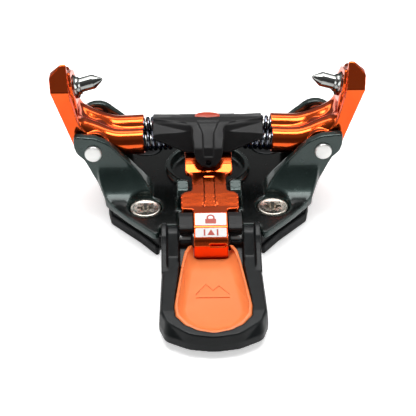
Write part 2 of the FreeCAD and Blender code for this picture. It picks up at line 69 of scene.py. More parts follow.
def arc(cx, cy, radius, start, end, count):
    """Points on an arc, angles in degrees."""
    step = math.radians(end - start) / (count - 1)
    angles = [math.radians(start) + step * i for i in range(count)]
    return [(cx + radius * math.cos(a), cy + radius * math.sin(a)) for a in angles]


def both_sides(points):
    """Closes a left-hand outline with its mirror image; a point on the middle line is kept once."""
    return points + [(-p[0], *p[1:]) for p in reversed(points) if abs(p[0]) > 1e-6]


def rounded(points, radius, steps=6):
    """Rounds the corners of a closed outline; a third number gives a corner its own radius."""
    out = []
    for i, point in enumerate(points):
        corner_r = point[2] if len(point) > 2 else radius
        corner = Vector(point[:2])
        back = Vector(points[i - 1][:2]) - corner
        ahead = Vector(points[(i + 1) % len(points)][:2]) - corner
        limit = 0.49 * min(back.length, ahead.length)
        back.normalize()
        ahead.normalize()
        half = math.acos(max(-1.0, min(1.0, back.dot(ahead)))) / 2
        if corner_r < 0.01 or half > math.radians(88):
            out.append(tuple(corner))
            continue
        reach = min(corner_r / math.tan(half), limit)
        corner_r = reach * math.tan(half)
        centre = corner + (back + ahead).normalized() * (corner_r / math.sin(half))
        first, last = corner + back * reach - centre, corner + ahead * reach - centre
        start = math.atan2(first.y, first.x)
        turn = math.atan2(last.y, last.x) - start
        turn = (turn + math.pi) % (2 * math.pi) - math.pi
        for k in range(steps + 1):
            angle = start + turn * k / steps
            out.append((centre.x + corner_r * math.cos(angle), centre.y + corner_r * math.sin(angle)))
    return out


def mesh_object(points, faces, name="part"):
    mesh = bpy.data.meshes.new(name)
    mesh.from_pydata([tuple(p) for p in points], [], faces)
    work = bmesh.new()
    work.from_mesh(mesh)
    bmesh.ops.remove_doubles(work, verts=work.verts, dist=1e-5)
    bmesh.ops.recalc_face_normals(work, faces=work.faces)
    work.to_mesh(mesh)
    work.free()
    obj = bpy.data.objects.new(name, mesh)
    bpy.context.scene.collection.objects.link(obj)
    return obj


def loft(loops, close=False):
    """Skins closed loops of equal length; close joins the last loop to the first."""
    n = len(loops[0])
    points = [p for loop in loops for p in loop]
    faces = []
    rows = len(loops) if close else len(loops) - 1
    for r in range(rows):
        a, b = r * n, ((r + 1) % len(loops)) * n
        faces += [(a + i, a + (i + 1) % n, b + (i + 1) % n, b + i) for i in range(n)]
    if not close:
        faces += [tuple(range(n)), tuple(range(len(points) - n, len(points)))]
    return mesh_object(points, faces)


def prism_x(outline, x0, x1):
    return loft([[(x, y, z) for y, z in outline] for x in (x0, x1)])


def prism_y(outline, y0, y1):
    return loft([[(x, y, z) for x, z in outline] for y in (y0, y1)])


def prism_z(outline, z0, z1):
    return loft([[(x, y, z) for x, y in outline] for z in (z0, z1)])


def block(x0, x1, y0, y1, z0, z1):
    return prism_z([(x0, y0), (x1, y0), (x1, y1), (x0, y1)], z0, z1)


def frame_about(direction):
    axis = Vector(direction).normalized()
    side = axis.cross(Vector((0, 1, 0)))
    if side.length < 0.1:
        side = axis.cross(Vector((1, 0, 0)))
    side.normalize()
    return axis, side, axis.cross(side)


def lathe(base, direction, profile, count=96):
    """Turns (distance, radius) stations about an axis; the ends are closed."""
    axis, side, up = frame_about(direction)
    base = Vector(base)
    loops = []
    for distance, radius in profile:
        ring = []
        for i in range(count):
            angle = 2 * math.pi * i / count
            offset = side * math.cos(angle) + up * math.sin(angle)
            ring.append(base + axis * distance + offset * max(radius, 0.004))
        loops.append(ring)
    return loft(loops)


def rod(base, direction, radius, length, count=96):
    return lathe(base, direction, [(0, radius), (length, radius)], count)


def sweep(path, radii, count=48):
    """A round tube along a path, one radius for each point."""
    path = [Vector(p) for p in path]
    loops = []
    side = None
    for i, point in enumerate(path):
        ahead = path[min(i + 1, len(path) - 1)] - path[max(i - 1, 0)]
        axis = ahead.normalized()
        if side is None:
            side = frame_about(axis)[1]
        side = (side - axis * side.dot(axis)).normalized()
        up = axis.cross(side)
        loop = []
        for k in range(count):
            angle = 2 * math.pi * k / count
            loop.append(point + (side * math.cos(angle) + up * math.sin(angle)) * radii[i])
        loops.append(loop)
    return loft(loops)


def discard(obj):
    mesh = obj.data
    bpy.data.objects.remove(obj)
    bpy.data.meshes.remove(mesh)


def apply_modifiers(obj):
    depsgraph = bpy.context.evaluated_depsgraph_get()
    old = obj.data
    made = bpy.data.meshes.new_from_object(obj.evaluated_get(depsgraph))
    obj.modifiers.clear()
    obj.data = made
    bpy.data.meshes.remove(old)
    return obj


def combine(obj, tool, operation, keep_tool=False):
    change = obj.modifiers.new("change", "BOOLEAN")
    change.operation = operation
    change.object = tool
    change.solver = "EXACT"
    apply_modifiers(obj)
    if not keep_tool:
        discard(tool)
    return obj


def cut(obj, *tools):
    for tool in tools:
        combine(obj, tool, "DIFFERENCE")
    return obj


def meet(obj, *tools):
    for tool in tools:
        combine(obj, tool, "INTERSECT")
    return obj


def join(objs):
    work = bmesh.new()
    for obj in objs:
        work.from_mesh(obj.data)
    made = bpy.data.meshes.new("joined")
    work.to_mesh(made)
    work.free()
    obj = bpy.data.objects.new("joined", made)
    bpy.context.scene.collection.objects.link(obj)
    for used in objs:
        discard(used)
    return obj


def forge(solids, voids, voxel, rounds):
    """Cuts the voids from every solid, melts the solids into one skin and softens its edges."""
    for solid in solids:
        for void in voids:
            combine(solid, void, "DIFFERENCE", keep_tool=True)
    for void in voids:
        discard(void)
    whole = join(solids)
    remesh = whole.modifiers.new("skin", "REMESH")
    remesh.mode = "VOXEL"
    remesh.voxel_size = voxel * 1.0
    remesh.use_smooth_shade = True
    soften = whole.modifiers.new("soften", "SMOOTH")
    soften.factor = 0.5
    soften.iterations = rounds
    return apply_modifiers(whole)


def bevelled(obj, width, segments=3, angle=32):
    edge = obj.modifiers.new("edge", "BEVEL")
    edge.width = width
    edge.segments = segments
    edge.limit_method = "ANGLE"
    edge.angle_limit = math.radians(angle)
    return apply_modifiers(obj)


def smooth_shaded(obj, angle=38):
    """Smooth shading, with edges sharper than the angle kept crisp."""
    work = bmesh.new()
    work.from_mesh(obj.data)
    for face in work.faces:
        face.smooth = True
    for edge in work.edges:
        sharp = len(edge.link_faces) == 2 and edge.calc_face_angle(0) > math.radians(angle)
        edge.smooth = not sharp
    work.to_mesh(obj.data)
    work.free()
    return obj


def mirrored(obj):
    work = bmesh.new()
    work.from_mesh(obj.data)
    for vert in work.verts:
        vert.co.x = -vert.co.x
    bmesh.ops.reverse_faces(work, faces=work.faces)
    mesh = bpy.data.meshes.new("mirrored")
    work.to_mesh(mesh)
    work.free()
    twin = bpy.data.objects.new("mirrored", mesh)
    bpy.context.scene.collection.objects.link(twin)
    return twin


def place(obj, name, body, slot, nodes=(), sharp=38):
    """Turns millimetres into metres and ties the piece to its body, finish and CAD nodes."""
    obj.name = name
    obj.data.name = name
    obj.data.transform(Matrix.Scale(MM, 4))
    if sharp:
        smooth_shaded(obj, sharp)
    obj.data.materials.clear()
    obj.data.materials.append(MATERIALS[slot])
    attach(obj, body)
    if nodes:
        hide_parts(*nodes)
    return obj


# --- materials ----------------------------------------------------------------------------


class Finish:
    """A node material around one Principled shader, with noise-driven colour, roughness and bump."""

    def __init__(self, name):
        self.material = bpy.data.materials.new(name)
        self.material.use_nodes = True
        self.tree = self.material.node_tree
        self.shader = self.tree.nodes["Principled BSDF"]
        self.coords = self.node("ShaderNodeTexCoord")
        self.bump_input = None

    def node(self, kind, **settings):
        made = self.tree.nodes.new(kind)
        for key, value in settings.items():
            setattr(made, key, value)
        return made

    def link(self, start, end):
        self.tree.links.new(start, end)

    def set(self, **values):
        for key, value in values.items():
            self.shader.inputs[key.replace("_", " ")].default_value = value
        return self

    def noise(self, scale, detail=4.0, stretch=(1, 1, 1)):
        mapping = self.node("ShaderNodeMapping")
        mapping.inputs["Scale"].default_value = stretch
        self.link(self.coords.outputs["Object"], mapping.inputs["Vector"])
        texture = self.node("ShaderNodeTexNoise")
        texture.inputs["Scale"].default_value = scale
        texture.inputs["Detail"].default_value = detail
        self.link(mapping.outputs["Vector"], texture.inputs["Vector"])
        return texture.outputs["Fac"]

    def ramp(self, value, stops):
        ramp = self.node("ShaderNodeValToRGB")
        while len(ramp.color_ramp.elements) < len(stops):
            ramp.color_ramp.elements.new(0.5)
        for element, (position, colour) in zip(ramp.color_ramp.elements, stops):
            element.position = position
            element.color = (*colour, 1.0)
        self.link(value, ramp.inputs["Fac"])
        return ramp.outputs["Color"]

    def colour(self, value, stops):
        self.link(self.ramp(value, stops), self.shader.inputs["Base Color"])
        return self

    def worn_edges(self, base, worn, low=0.53, high=0.6):
        """Blends towards the worn colour on convex edges."""
        geometry = self.node("ShaderNodeNewGeometry")
        edge = self.node("ShaderNodeMapRange")
        edge.inputs["From Min"].default_value = low
        edge.inputs["From Max"].default_value = high
        self.link(geometry.outputs["Pointiness"], edge.inputs["Value"])
        mix = self.node("ShaderNodeMix", data_type="RGBA")
        self.link(edge.outputs["Result"], mix.inputs["Factor"])
        self.link(base, mix.inputs[6])
        mix.inputs[7].default_value = (*worn, 1.0)
        self.link(mix.outputs[2], self.shader.inputs["Base Color"])
        return self

    def roughness(self, value, low, high):
        spread = self.node("ShaderNodeMapRange")
        spread.inputs["From Min"].default_value = 0.3
        spread.inputs["From Max"].default_value = 0.7
        spread.inputs["To Min"].default_value = low
        spread.inputs["To Max"].default_value = high
        self.link(value, spread.inputs["Value"])
        self.link(spread.outputs["Result"], self.shader.inputs["Roughness"])
        return self

    def bump(self, value, strength, height):
        made = self.node("ShaderNodeBump")
        made.inputs["Strength"].default_value = strength
        made.inputs["Distance"].default_value = height
        self.link(value, made.inputs["Height"])
        if self.bump_input is not None:
            self.link(self.bump_input, made.inputs["Normal"])
        self.bump_input = made.outputs["Normal"]
        self.link(self.bump_input, self.shader.inputs["Normal"])
        return self


def anodised_orange():
    f = Finish("anodised_orange")
    f.set(Metallic=1.0, Coat_Weight=0.3, Coat_Roughness=0.04)
    base = f.ramp(f.noise(90, 3), [(0.3, (0.84, 0.092, 0.010)), (0.7, (0.92, 0.118, 0.014))])
    f.worn_edges(base, (0.95, 0.20, 0.05), 0.56, 0.68)
    f.roughness(f.noise(260, 6, (1, 3, 1)), 0.10, 0.17)
    return f.bump(f.noise(1800, 5), 0.10, 0.00003).material


def deck_green():
    """Dark green anodising with painted shade: low deck faces that point straight up are painted near black
    and get less coat, while the towers keep the green.
    """
    f = Finish("deck_green")
    f.set(Metallic=0.55, Coat_Roughness=0.06)
    split = f.node("ShaderNodeSeparateXYZ")
    f.link(f.coords.outputs["Object"], split.inputs["Vector"])
    # painted shade mask from height: 0 below about 9.8 mm, 1 above 11.5 mm
    rise = f.node("ShaderNodeMapRange")
    rise.inputs["From Min"].default_value = 0.0098
    rise.inputs["From Max"].default_value = 0.0115
    f.link(split.outputs["Z"], rise.inputs["Value"])
    tone = f.ramp(f.noise(120, 4), [(0.3, (0.024, 0.042, 0.038)), (0.7, (0.034, 0.056, 0.051))])
    mix = f.node("ShaderNodeMix", data_type="RGBA")
    facing = f.node("ShaderNodeSeparateXYZ")
    f.link(f.node("ShaderNodeNewGeometry").outputs["Normal"], facing.inputs["Vector"])
    # painted shade mask from slope: 0 on faces pointing straight up, 1 on sloping faces
    tilt = f.node("ShaderNodeMapRange")
    tilt.inputs["From Min"].default_value = 0.97
    tilt.inputs["From Max"].default_value = 0.75
    f.link(facing.outputs["Z"], tilt.inputs["Value"])
    # 1 where either mask clears the face, 0 where the painted shade goes
    clear = f.node("ShaderNodeMath", operation="MAXIMUM")
    f.link(rise.outputs["Result"], clear.inputs[0])
    f.link(tilt.outputs["Result"], clear.inputs[1])
    f.link(clear.outputs["Value"], mix.inputs["Factor"])
    # the painted shade colour, near black
    mix.inputs[6].default_value = (0.003, 0.0045, 0.004, 1.0)
    f.link(tone, mix.inputs[7])
    f.link(mix.outputs[2], f.shader.inputs["Base Color"])
    coat = f.node("ShaderNodeMapRange")
    coat.inputs["To Min"].default_value = 0.08
    coat.inputs["To Max"].default_value = 0.5
    f.link(clear.outputs["Value"], coat.inputs["Value"])
    f.link(coat.outputs["Result"], f.shader.inputs["Coat Weight"])
    f.roughness(f.noise(420, 5), 0.20, 0.28)
    return f.bump(f.noise(2400, 4), 0.05, 0.00002).material


def moulded(name, dark, light, rough, grain=2600.0, grain_height=0.00005, worn=None, coat=0.0):
    """A moulded plastic: slight colour drift, grain, and paler edges where it has been handled."""
    f = Finish(name)
    f.set(Specular_IOR_Level=0.28, Coat_Weight=coat, Coat_Roughness=0.2)
    base = f.ramp(f.noise(70, 5), [(0.3, dark), (0.7, light)])
    f.worn_edges(base, worn or tuple(1.5 * c for c in light), 0.58, 0.75)
    f.roughness(f.noise(500, 4), rough - 0.04, rough + 0.05)
    f.bump(f.noise(grain, 3), 0.22, grain_height)
    return f.material


def metal(name, dark, light, rough, scratches=(1, 1, 12), bump=0.12, edge=(1.0, 1.0, 1.0)):
    """A bare metal with faint directional scratches."""
    f = Finish(name)
    f.set(Metallic=1.0, Specular_Tint=(*edge, 1.0))
    f.colour(f.noise(160, 5), [(0.3, dark), (0.7, light)])
    f.roughness(f.noise(700, 6, scratches), max(0.02, rough - 0.05), rough + 0.07)
    return f.bump(f.noise(1500, 6, scratches), bump, 0.00002).material


MATERIALS = {
    "anodised_orange": anodised_orange(),
    "deck_green": deck_green(),
    "base_black": moulded("base_black", (0.004, 0.0045, 0.005), (0.009, 0.010, 0.011), 0.42),
    "stop_black": moulded("stop_black", (0.006, 0.006, 0.0063), (0.013, 0.013, 0.0137), 0.44),
    "lever_black": moulded("lever_black", (0.002, 0.003, 0.0033), (0.006, 0.008, 0.009), 0.34),
    "pad_orange": moulded("pad_orange", (0.93, 0.225, 0.060), (0.98, 0.265, 0.080), 0.34,
                          grain=1500, grain_height=0.00003, worn=(1.0, 0.28, 0.10), coat=0.15),
    "plug_orange": moulded("plug_orange", (0.52, 0.055, 0.022), (0.60, 0.075, 0.03), 0.36,
                           worn=(0.8, 0.16, 0.07)),
    "label_white": moulded("label_white", (0.80, 0.80, 0.79), (0.90, 0.90, 0.90), 0.30,
                           grain_height=0.00001, worn=(0.9, 0.9, 0.9), coat=0.5),
    "label_ink": moulded("label_ink", (0.42, 0.030, 0.010), (0.52, 0.040, 0.015), 0.32,
                         grain_height=0.00001, worn=(0.5, 0.05, 0.02), coat=0.5),
    "spring_steel": metal("spring_steel", (0.14, 0.16, 0.20), (0.30, 0.33, 0.40), 0.14,
                          edge=(0.1, 0.1, 0.14)),
    "pin_steel": metal("pin_steel", (0.34, 0.35, 0.34), (0.48, 0.49, 0.47), 0.12, edge=(0.10, 0.11, 0.11)),
    "axle_steel": metal("axle_steel", (0.80, 0.80, 0.78), (0.92, 0.92, 0.90), 0.38),
    "screw_steel": metal("screw_steel", (0.50, 0.46, 0.40), (0.66, 0.62, 0.56), 0.24),
    # painted shade: a near-black copy of the screw steel for the rear screws
    "painted_shade_screw_steel": metal("painted_shade_screw_steel", (0.020, 0.021, 0.022), (0.040, 0.041, 0.043), 0.34),
    "bush_brass": metal("bush_brass", (0.42, 0.28, 0.12), (0.60, 0.43, 0.20), 0.30),
    "block_metal": metal("block_metal", (0.30, 0.30, 0.31), (0.46, 0.46, 0.48), 0.34),
}


# --- base ---------------------------------------------------------------------------------
NOTCH_X, NOTCH_Y = 16.4, -30.0
PAD_OUTLINE = [(-NOTCH_X, NOTCH_Y), (-NOTCH_X, -35.3), (-22.7, -26.7), (-32.6, -15.4),
               (-33.6, -10.0), (-33.6, 20.0), (-27.0, 28.0), (-19.0, 29.5)]
DECK_OUTLINE = [(-NOTCH_X, NOTCH_Y), (-NOTCH_X, -36.8), (-26.4, -25.5), (-34.2, -15.3),
                (-35.0, -10.0), (-35.0, 20.5), (-28.0, 29.0), (-19.5, 30.5)]
SCREWS = [(sx * SCREW_X, sy * SCREW_Y) for sx in (-1, 1) for sy in (-1, 1)]


def base_pad():
    foot = prism_z(rounded(both_sides(PAD_OUTLINE), 2.0), 0, 3.6)
    shelf = prism_z(rounded(both_sides([(x + 0.8, y + 0.6) for x, y in PAD_OUTLINE]), 2.0), 3.2, PAD_TOP)
    foot = bevelled(foot, 0.7)
    return join([foot, bevelled(shelf, 0.3)])


def tower_front_outline():
    return rounded([(-33.8, DECK_TOP - 1), (-37.0, 12.0), (-39.2, 16.7), (-41.0, 20.6), (-43.5, 23.2, 2.0),
                    (-44.4, 26.0), (-44.3, 29.7, 0.8), (-37.5, 29.1, 6.0), (-32.6, 26.6, 6.0), (-22.0, 15.0),
                    (-16.6, DECK_TOP - 1)], 4.0)


def tower_rear_outline():
    outer = [(-33.8, DECK_TOP - 1), (-37.0, 12.0), (-39.6, 17.0), (-42.6, 21.0)]
    crown = arc(-37.2, 23.0, 6.6, 165, 42, 24)
    return outer + crown + [(-28.2, 24.0), (-24.0, 18.5), (-19.0, DECK_TOP - 1)]


def front_scoop():
    radius = 12.0
    front = TOWER_FRONT[0]
    curve = arc(front - radius, DECK_TOP + radius, radius, 0, -90, 33)
    slope = prism_x([(front + 1, DECK_TOP - 2), (front + 1, DECK_TOP + radius)] + curve
                    + [(front - radius, DECK_TOP - 2)], -60, -10)
    front_view = prism_y(tower_front_outline(), -45, front + 1)
    plan = prism_z([(-NOTCH_X, -36.8), (-26.4, -25.5), (-34.2, -15.3), (-37.0, -8.0),
                    (-45.0, front + 0.6), (-14.0, front + 0.6), (-14.0, -36.8)], 0, 60)
    return meet(slope, front_view, plan)


def chassis():
    deck = prism_z(rounded(both_sides(DECK_OUTLINE), 2.0), PAD_TOP, DECK_TOP)
    rim = cut(rod((0, WELL_Y, DECK_TOP - 0.5), (0, 0, 1), WELL_R + 1.6, 2.0),
              rod((0, WELL_Y, 0), (0, 0, 1), WELL_R, 30))
    solids = [deck, rim]
    post = prism_x(rounded([(-21.2, DECK_TOP - 1), (-21.2, 14.6), (-20.2, 16.4), (-15.4, 17.6),
                            (-14.2, 16.6), (-14.2, DECK_TOP - 1)], 0.8), -10.6, -6.7)
    for part in (prism_y(tower_front_outline(), *TOWER_FRONT),
                 prism_y(tower_rear_outline(), *TOWER_REAR), front_scoop(), post):
        solids += [mirrored(part), part]
    voids = [rod((0, WELL_Y, WELL_FLOOR), (0, 0, 1), WELL_R, 6),
             block(-10.2, 10.2, -33, -22.5, WELL_FLOOR, 20),
             block(-6.3, 6.3, -25, 0, WELL_FLOOR, 30)]
    for x, y in SCREWS:
        voids.append(rod((x, y, SCREW_TOP - 2.2), (0, 0, 1), SCREW_HEAD_R + 0.35, 20))
        voids.append(rod((x, y, DECK_TOP - 0.4), (0, 0, 1), SCREW_HEAD_R + 1.0, 24))
    return forge(solids, voids, 0.42, 7)


def mounting_screw(x, y):
    """Flat head with a rolled rim and a size 3 cross recess with its four marker notches."""
    r = SCREW_HEAD_R
    profile = [(-18.0, 0.4), (-16.5, 2.3), (-2.2, 2.7), (-2.2, r - 0.5), (-1.9, r - 0.15), (-0.6, r),
               (-0.22, r - 0.06), (-0.05, r - 0.22), (0.0, r - 0.5), (-0.04, r - 0.95), (-0.12, r - 1.1)]
    head = lathe((x, y, SCREW_TOP), (0, 0, 1), profile)
    tools = []
    for turn in (0, 90):
        wing = loft([[(sx * long, sy * wide, z) for sx, sy in ((-1, -1), (1, -1), (1, 1), (-1, 1))]
                     for long, wide, z in ((1.1, 0.35, -2.1), (3.3, 0.72, 0.6))])
        wing.data.transform(Matrix.Rotation(math.radians(turn), 4, "Z"))
        tools.append(wing)
    tools.append(lathe((0, 0, 0), (0, 0, 1), [(-2.2, 1.0), (0.5, 1.95)], 48))
    for turn in (45, 135, 225, 315):
        tick = block(1.4, 3.5, -0.22, 0.22, -0.35, 0.5)
        tick.data.transform(Matrix.Rotation(math.radians(turn), 4, "Z"))
        tools.append(tick)
    for tool in tools:
        tool.data.transform(Matrix.Translation((x, y, SCREW_TOP)))
    return cut(head, *tools)


def axle_head():
    """The wing's axle with its flat riveted head in front of the tower."""
    stations = [(-25.0, 1.98), (0.0, 1.98), (0.0, 2.85), (0.55, 2.85), (0.8, 2.72), (0.9, 2.5), (0.93, 1.2)]
    return lathe((-PIVOT_X, TOWER_FRONT[0], PIVOT_Z), (0, -1, 0), stations)


HOOK_X = (-9.9, -5.7)


def axle_block():
    """The side block hooks over the cross axle; a thin lug beside the drum carries the axle."""
    hook = [(-32.8, 9.0), (-33.0, 16.6, 0.8), (-36.0, 16.9, 2.0), (-39.8, 16.2, 1.5), (-41.4, 15.4, 0.6),
            (-40.9, 14.4, 0.4)]
    hollow = arc(AXLE_Y, AXLE_Z, 5.0, 120, 100, 5)
    seat = [(-38.3, AXLE_Z), (-38.3, 6.3), (-35.5, 4.5), (NOTCH_Y, 2.5), (NOTCH_Y, 8.2)]
    made = prism_x(rounded(hook, 0.3) + hollow + seat, *HOOK_X)
    lug = rod((HOOK_X[1] - 0.6, AXLE_Y, AXLE_Z), (1, 0, 0), 4.3, 0.6, 64)
    bore = rod((-12, AXLE_Y, AXLE_Z), (1, 0, 0), 2.0, 12, 48)
    combine(made, bore, "DIFFERENCE", keep_tool=True)
    made = bevelled(made, 0.45)
    return join([made, cut(lug, bore)])


# --- wings --------------------------------------------------------------------------------


def barrel_point(x, y):
    rise = math.tan(math.radians(BARREL_TILT)) * (x + MOUTH_X)
    return Vector((x, y, MOUTH_Z + rise))


def pin_direction():
    tilt = math.radians(PIN_TILT)
    return Vector((math.cos(tilt), 0, math.sin(tilt)))


def pin_point(s):
    return Vector((-PIN_X, PIN_Y, PIN_Z)) + pin_direction() * s


def wing_section(x, z, half, y0, y1, waist, tilt):
    """A figure-eight section: one lobe per barrel, square to the arm's path."""
    front, rear = y0 + half, y1 - half
    across = Vector((-math.sin(tilt), 0, math.cos(tilt)))
    upper = []
    for k in range(33):
        y = y0 + (y1 - y0) * (1 - math.cos(math.pi * k / 32)) / 2
        near = min(abs(y - front), abs(y - rear))
        lobe = math.sqrt(max(0.0, half * half - near * near))
        if front < y < rear:
            lobe = (lobe ** 5 + waist ** 5) ** 0.2
        upper.append((y, min(lobe, half)))
    ring = upper + [(y, -h) for y, h in reversed(upper[1:-1])]
    return [tuple(Vector((x, y, z)) + across * h) for y, h in ring]


def smooth_path(stations, steps=5):
    """Catmull-Rom interpolation between stations."""
    out = []
    last = len(stations) - 1
    for i in range(last):
        a, b, c, d = (stations[max(0, min(last, i + k))] for k in (-1, 0, 1, 2))
        for step in range(steps):
            t = step / steps
            between = []
            for p, q, r, w in zip(a, b, c, d):
                square, cube = 2 * p - 5 * q + 4 * r - w, 3 * q - p - 3 * r + w
                between.append(0.5 * (2 * q + (r - p) * t + square * t * t + cube * t ** 3))
            out.append(between)
    return out + [list(stations[last])]


# the arm's path from the barrels' mouths to the toe pin: x, z, half thickness, front y, rear y, waist
WING_STATIONS = [(-21.3, 23.1, 4.35, -3.95, 13.95, 2.2), (-27.0, 22.85, 4.35, -3.95, 13.95, 2.2),
                 (-31.0, 22.9, 4.4, -3.95, 13.95, 2.6), (-34.6, 23.8, 4.5, -3.95, 13.95, 3.0),
                 (-38.4, 25.4, 4.6, -3.9, 13.9, 3.4), (-41.6, 27.0, 4.5, -3.9, 13.9, 3.4),
                 (-44.0, 29.3, 3.9, -3.6, 13.85, 3.2), (-45.2, 32.7, 2.7, -3.0, 13.8, 2.4),
                 (-45.5, 36.6, 2.6, -2.2, 13.6, 2.3), (-46.6, 41.0, 2.6, -0.8, 13.2, 2.3),
                 (-47.8, 45.4, 2.0, 1.2, 12.0, 1.9)]


def wing_body():
    """The arm itself, one continuous form from the barrels up to the pin."""
    rings = []
    stations = smooth_path(WING_STATIONS)
    for i, (x, z, half, y0, y1, waist) in enumerate(stations):
        before = stations[max(0, i - 1)]
        after = stations[min(len(stations) - 1, i + 1)]
        tilt = math.atan2(after[1] - before[1], after[0] - before[0]) - math.pi
        rings.append(wing_section(x, z, half, y0, y1, waist, tilt))
    return loft(rings)


def wing():
    """Upright arm with its faceted face plate, hub about the axle, pin boss and two spring barrels."""
    face = [(-43.6, 20.6), (-45.1, 25.6), (-51.4, 43.0, 2.0), (-51.95, 46.9, 1.0), (-47.8, 50.4, 0.4),
            (-46.4, 50.1, 0.4), (-45.0, 41.0, 8.0), (-42.6, 31.4, 6.0), (-40.0, 28.4, 4.0), (-35.0, 27.2),
            (-35.0, 19.4)]
    side = [(-3.9, 19), (-3.9, 26, 0.5), (-2.7, 43.4, 0.3), (4.2, 50.2, 1.5), (8.5, 50.0, 2.0),
            (12.2, 47.8, 3.0), (13.6, 42.6, 4.0), (13.9, 27), (13.9, 19)]
    plate = meet(prism_y(rounded(face, 1.5), -5, 4.6), prism_x(rounded(side, 1.0), -60, -30))
    inner = [(-44.0, 25.6), (-50.0, 42.6, 3.0), (-50.6, 46.0, 2.0), (-47.0, 48.7, 1.0), (-45.2, 48.3, 1.0),
             (-43.9, 41.0, 8.0), (-43.4, 34.0, 4.0), (-42.6, 30.0, 3.0), (-38.0, 26.0), (-38.0, 20.4),
             (-42.3, 20.6)]
    behind = [(-3.9, 19), (-3.9, 40.0), (3.0, 47.6, 1.0), (7.0, 46.6, 2.0), (11.6, 44.6, 3.0),
              (13.6, 40.6, 4.0), (13.9, 27), (13.9, 19)]
    lug = meet(prism_y(rounded(inner, 1.5), 0, 20), prism_x(rounded(behind, 1.0), -60, -30))
    hub = rod((-PIVOT_X, -3.9, PIVOT_Z), (0, 1, 0), 5.3, 17.8)
    boss = lathe(pin_point(-3.4), pin_direction(), [(0, 6.0), (1.4, 5.5), (3.6, 4.7)])
    voids = [rod((-PIVOT_X, -6, PIVOT_Z), (0, 1, 0), 3.0, 24)]
    tilt = math.radians(BARREL_TILT)
    for y in BARREL_YS:
        voids.append(rod(barrel_point(-32.5, y), (math.cos(tilt), 0, math.sin(tilt)), BORE_R, 16))
    voids.append(rod(pin_point(0.2), pin_direction(), 4.2, 9.0))
    inside = prism_y([(-20, 10), (-42.6, 19), (-43.6, 25.6), (-50.0, 43), (-50.6, 47), (-50, 60), (-20, 60)],
                     -10, 20)
    return forge([plate, lug, hub, boss, meet(wing_body(), inside)], voids, 0.24, 4)


def toe_pin():
    """Shank, collar, neck, round body and cone, turned in one piece."""
    stations = [(-4.4, 2.2), (0.2, 2.2), (0.2, 3.75), (0.32, 3.9), (1.38, 3.9), (1.5, 3.78), (1.9, 3.05),
                (2.0, 3.0), (2.5, 3.0), (2.62, 2.9), (3.0, 2.42), (3.1, 2.4), (7.15, 2.4), (7.35, 2.36),
                (7.5, 2.27), (10.05, 0.62), (10.25, 0.45), (10.36, 0.25), (10.4, 0.02)]
    return lathe(pin_point(0), pin_direction(), stations, 128)


def coil_spring(y):
    """Round wire wound about the barrel's axis."""
    start, end = barrel_point(-SPRING_START_X, y), barrel_point(-SPRING_END_X, y)
    axis, side, up = frame_about(end - start)
    length = (end - start).length - 2 * WIRE_R
    steps = SPRING_TURNS * STEPS_PER_TURN
    path = []
    for i in range(steps + 1):
        t = i / steps
        angle = 2 * math.pi * SPRING_TURNS * t
        offset = side * math.cos(angle) + up * math.sin(angle)
        path.append(start + axis * (WIRE_R + length * t) + offset * SPRING_R)
    return sweep(path, [WIRE_R] * len(path), 12)


# --- rocker -------------------------------------------------------------------------------
LINK_TOP = [(-24.0, 17.8), (-12.4, 18.3), (-9.6, 19.85), (-6.5, 20.6), (-1.0, 21.2)]
CAM = [(-34.6, 17.2), (-40.5, 16.1), (-44.7, 13.7), (-45.5, 11.4)]
LABELS = {"lock": (0, 0.25, 5.7), "ski": (1, 0.7, 3.85)}    # facet of the cam, start and end along it
LABEL_HALF = 4.9


def centre_link():
    """The waisted plate under the toe stop, in one piece with the faceted drum on the lever's axle."""
    top = [(-33.5, 17.2), (-31.0, 17.2)] + LINK_TOP
    bottom = [(10.5, 20.2), (10.5, 17.2), (-1.0, 17.2), (-12.0, 17.0), (-18.0, 15.6), (-26.0, 15.0),
              (-33.5, 14.6)]
    side_view = prism_x(rounded(top + [(-1.0, 20.2)] + bottom, 0.6), -12, 12)
    plan = [(-DRUM_HALF, -40.0), (-DRUM_HALF, -32.4, 0.8), (-8.6, -32.1, 0.6), (-9.3, -31.2, 0.6),
            (-9.3, -24.6, 1.4), (-8.2, -23.2, 0.8), (-5.7, -22.6, 1.2), (-5.7, -13.0, 1.2),
            (-7.8, -12.2, 1.0), (-7.8, 10.5)]
    plate = meet(side_view, prism_z(rounded(both_sides(plan), 0.8), 0, 60))
    belly = arc(AXLE_Y, AXLE_Z, DRUM_R, 172, 300, 40)
    cam = [(*point, radius) for point, radius in zip(CAM, (1.5, 1.0, 1.6, 2.5))]
    drum = prism_x(rounded([(-31.0, 17.2)] + cam + belly + [(-31.0, 12.6)], 0.0, 12), -DRUM_HALF, DRUM_HALF)
    bed = ((2.3, -31.0, 17.2), (1.8, -27.5, 17.5), (1.8, -24.0, 17.8), (1.8, -14.5, 18.3))
    groove = loft([[(-w, y, z - 0.3), (w, y, z - 0.3), (w, y, z + 3.0), (-w, y, z + 3.0)] for w, y, z in bed])
    slit = block(-0.4, 4.6, -47.0, -43.4, 11.5, 12.3)
    bores = [rod((-9, AXLE_Y, AXLE_Z), (1, 0, 0), 3.0, 18), rod((0, TOE_SCREW_Y, 16), (0, 0, 1), 1.6, 6)]
    return forge([plate, drum], [groove, *bores, slit], 0.22, 4)


def on_facet(facet, outline, low, high):
    """A thin plate on one flat of the cam, from an outline in (across, down the facet)."""
    start, end = Vector(CAM[facet]), Vector(CAM[facet + 1])
    along = (end - start).normalized()
    out = Vector((along.y, -along.x))
    loops = []
    for height in (low, high):
        loops.append([(x, *(start + along * v + out * height)) for x, v in outline])
    return loft(loops)


def label_plate(key):
    facet, low, high = LABELS[key]
    corners = [(-LABEL_HALF, low), (LABEL_HALF, low), (LABEL_HALF, high), (-LABEL_HALF, high)]
    return on_facet(facet, rounded(corners, 0.4, 4), -0.3, 0.12)


